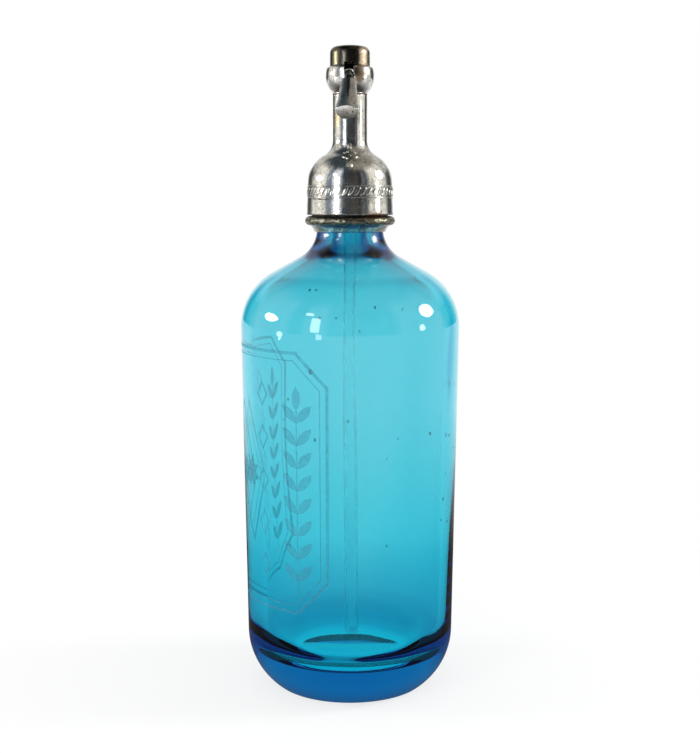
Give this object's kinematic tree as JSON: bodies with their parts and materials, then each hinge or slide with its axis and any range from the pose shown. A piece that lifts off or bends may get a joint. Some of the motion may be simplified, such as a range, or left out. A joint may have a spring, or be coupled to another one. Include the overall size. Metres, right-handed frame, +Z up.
{
  "type": "soda siphon",
  "caption": "Turquoise glass soda siphon with a plated bell head, ball valve housing, domed cap, thumb lever and curved spout.",
  "frame": {"origin": "centre of the foot of the bottle, on the surface it stands on", "axes": "+Z up along the bottle's axis, -Y towards the thumb lever's end, +Y towards the spout, +X to the right seen from the lever side"},
  "size_m": [0.104, 0.104, 0.3042],
  "materials": {
    "turquoise_glass": "thick blown glass, glossy",
    "clear_glass": "clear glass tube",
    "bright_plate": "old bright plating, pitted",
    "satin_plate": "dull plating, pitted",
    "worn_brass": "plating worn through to dark brass",
    "bare_brass": "turned brass",
    "spring_steel": "drawn wire",
    "grey_rubber": "moulded rubber",
    "black_rubber": "moulded rubber",
    "red_fibre": "red fibre washer",
    "tube_bush": "moulded bush"
  },
  "bodies": {
    "siphon": {"bottle": "turquoise_glass", "dip_tube": "clear_glass", "lip_ring": "grey_rubber", "collar_half_left": "satin_plate", "collar_half_right": "satin_plate", "mouth_gasket": "grey_rubber", "tube_seat": "tube_bush", "tube_ring": "grey_rubber", "bell": "bright_plate", "stem_washer": "red_fibre", "valve_body": "bright_plate", "valve_seat": "bare_brass", "gland_seal": "black_rubber", "gland_ring": "bare_brass", "cap_gasket": "grey_rubber", "cap": "worn_brass", "lever_pin": "bright_plate", "return_spring": "spring_steel"},
    "thumb_lever": {"lever": "bright_plate"},
    "valve_plunger": {"plunger": "bare_brass", "valve_cup": "bare_brass", "valve_washer": "black_rubber", "washer_screw": "bare_brass"}
  },
  "joints": [
    {"name": "lever_hinge", "type": "hinge", "parent": "siphon", "child": "thumb_lever", "pos_m": [0, -0.0083, 0.29162], "axis": [1, 0, 0], "range_deg": [0, 14], "stiffness_Nm_per_rad": 0.11, "springref_deg": -60.16},
    {"name": "plunger_slide", "type": "slide", "parent": "siphon", "child": "valve_plunger", "axis": [0, 0, 1], "range_m": [0, 0.00203], "deforming": ["return_spring"]}
  ],
  "couplings": [
    {"joint": "lever_hinge", "follows": "plunger_slide", "rad_per_m": 120.48}
  ]
}
